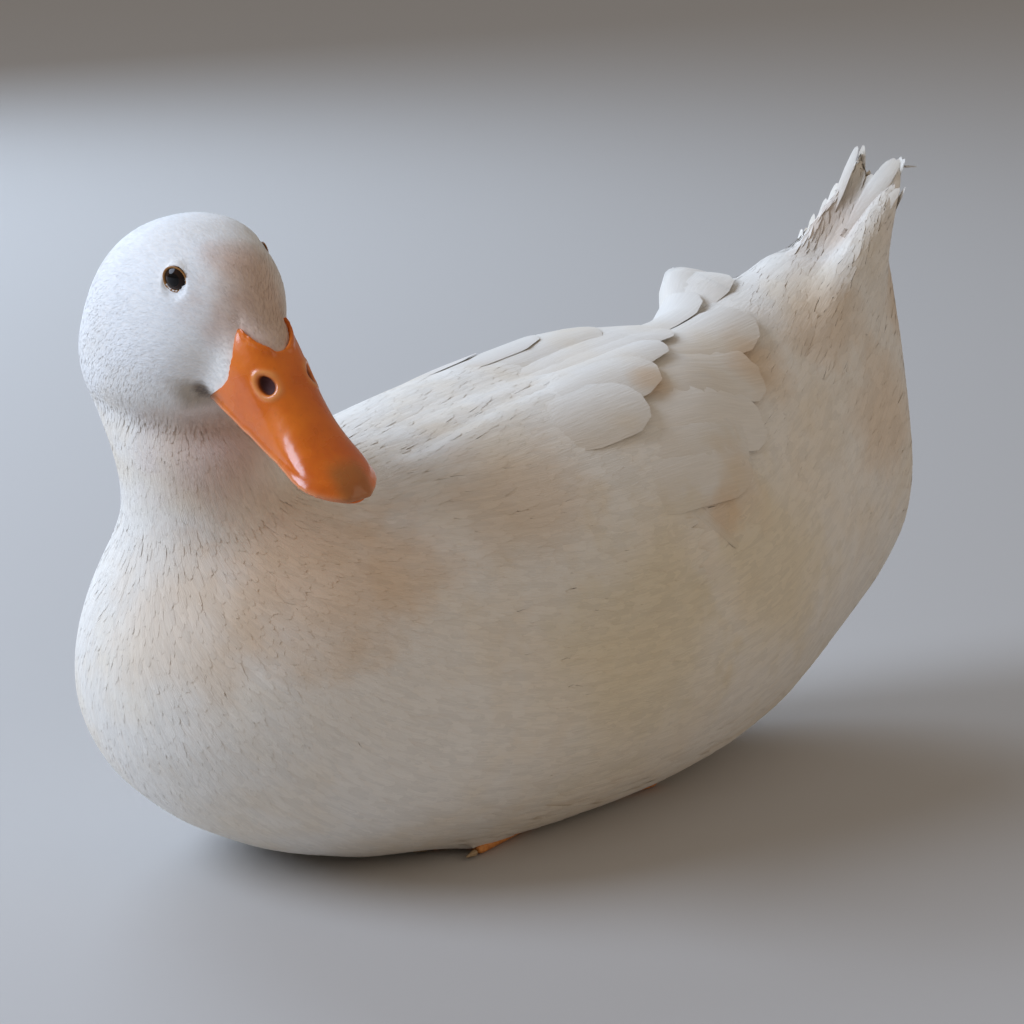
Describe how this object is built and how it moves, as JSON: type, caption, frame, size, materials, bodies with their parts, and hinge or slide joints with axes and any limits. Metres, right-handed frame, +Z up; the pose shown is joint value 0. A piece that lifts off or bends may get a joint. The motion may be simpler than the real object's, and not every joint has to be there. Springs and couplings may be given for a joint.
{
  "type": "duck",
  "caption": "White farm duck resting on its belly, head turned to one side, wings folded, tail cocked, feet tucked under",
  "frame": {"origin": "on the floor, under the middle of the duck's box", "axes": "+Z up; breast towards -Y and tail towards +Y; the duck's left side towards +X, where the head is turned"},
  "size_m": [0.191, 0.4178, 0.2547],
  "materials": {
    "plumage": "soft white feathers, cream and pinkish grey where they shade each other",
    "bill": "deep orange horn with a wet gloss, browner at the nail, paler along the rim",
    "eye": "polished, very dark brown",
    "leg": "orange scaly skin",
    "claw": "dull tan horn"
  },
  "bodies": {
    "root": {"head": "plumage", "neck": "plumage", "trunk": "plumage", "tail": "plumage", "wing_left": "plumage", "wing_right": "plumage", "upper_bill": "bill", "lower_bill": "bill", "eye_left": "eye", "eye_right": "eye", "leg_left": "leg", "leg_right": "leg", "claw_left_1": "claw", "claw_left_2": "claw", "claw_left_3": "claw", "claw_right_1": "claw", "claw_right_2": "claw", "claw_right_3": "claw"}
  },
  "joints": []
}
